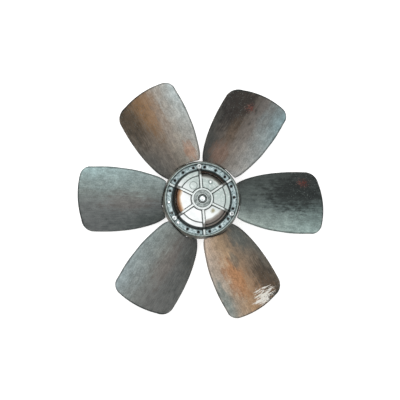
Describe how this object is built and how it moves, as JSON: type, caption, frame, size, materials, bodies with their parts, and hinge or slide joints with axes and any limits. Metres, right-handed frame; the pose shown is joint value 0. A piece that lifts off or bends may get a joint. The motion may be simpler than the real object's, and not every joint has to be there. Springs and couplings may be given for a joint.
{
  "type": "fan propeller",
  "caption": "Fan propeller wheel: wide twisted wooden blades with steel roots, clamped in a split cast hub with a keyed shaft bore and a set-screw balance ring.",
  "frame": {"origin": "centre of the hub's rear face, on the shaft axis, where the bore opens", "axes": "+Z along the shaft axis out of the front boss, the face that shows in the picture; +X along the middle of blade_1; the wheel lies on its rear face"},
  "size_m": [0.6, 0.5738, 0.124],
  "materials": {
    "blade_wood": "dark sealed and weathered, satin",
    "hub_casting": "as cast with machined rims, dull",
    "bush_steel": "dull grey, turned",
    "bright_steel": "zinc-bright, lightly worn",
    "dark_steel": "blackened",
    "plug_metal": "bright"
  },
  "bodies": {
    "hub": {"hub_front_shell": "hub_casting", "hub_rear_shell": "hub_casting", "hub_bush": "bush_steel", "centre_screw": "bright_steel", "centre_washer": "bright_steel", "shaft_grub_screw": "dark_steel", "clamp_screws": "bright_steel", "clamp_washers": "bright_steel", "rear_screws": "bright_steel", "rear_washers": "bright_steel", "shell_dowels": "bright_steel", "balance_plugs": "plug_metal", "balance_grub_screws": "dark_steel", "web_plug": "bright_steel"},
    "blade_1": {"blade_1": "blade_wood", "blade_ferrule_1": "bush_steel", "blade_dowel_1": "dark_steel"},
    "blade_2": {"blade_2": "blade_wood", "blade_ferrule_2": "bush_steel", "blade_dowel_2": "dark_steel"},
    "blade_3": {"blade_3": "blade_wood", "blade_ferrule_3": "bush_steel", "blade_dowel_3": "dark_steel"},
    "blade_4": {"blade_4": "blade_wood", "blade_ferrule_4": "bush_steel", "blade_dowel_4": "dark_steel"},
    "blade_5": {"blade_5": "blade_wood", "blade_ferrule_5": "bush_steel", "blade_dowel_5": "dark_steel"},
    "blade_6": {"blade_6": "blade_wood", "blade_ferrule_6": "bush_steel", "blade_dowel_6": "dark_steel"}
  },
  "joints": [
    {"name": "blade_1_pitch", "type": "hinge", "parent": "hub", "child": "blade_1", "pos_m": [0.08, 0, 0.06], "axis": [1, 0, 0], "range_deg": [-8, 8]},
    {"name": "blade_2_pitch", "type": "hinge", "parent": "hub", "child": "blade_2", "pos_m": [0.04, 0.06928, 0.06], "axis": [0.5, 0.866, 0], "range_deg": [-8, 8]},
    {"name": "blade_3_pitch", "type": "hinge", "parent": "hub", "child": "blade_3", "pos_m": [-0.04, 0.06928, 0.06], "axis": [-0.5, 0.866, 0], "range_deg": [-8, 8]},
    {"name": "blade_4_pitch", "type": "hinge", "parent": "hub", "child": "blade_4", "pos_m": [-0.08, 0, 0.06], "axis": [-1, 0, 0], "range_deg": [-8, 8]},
    {"name": "blade_5_pitch", "type": "hinge", "parent": "hub", "child": "blade_5", "pos_m": [-0.04, -0.06928, 0.06], "axis": [-0.5, -0.866, 0], "range_deg": [-8, 8]},
    {"name": "blade_6_pitch", "type": "hinge", "parent": "hub", "child": "blade_6", "pos_m": [0.04, -0.06928, 0.06], "axis": [0.5, -0.866, 0], "range_deg": [-8, 8]}
  ]
}
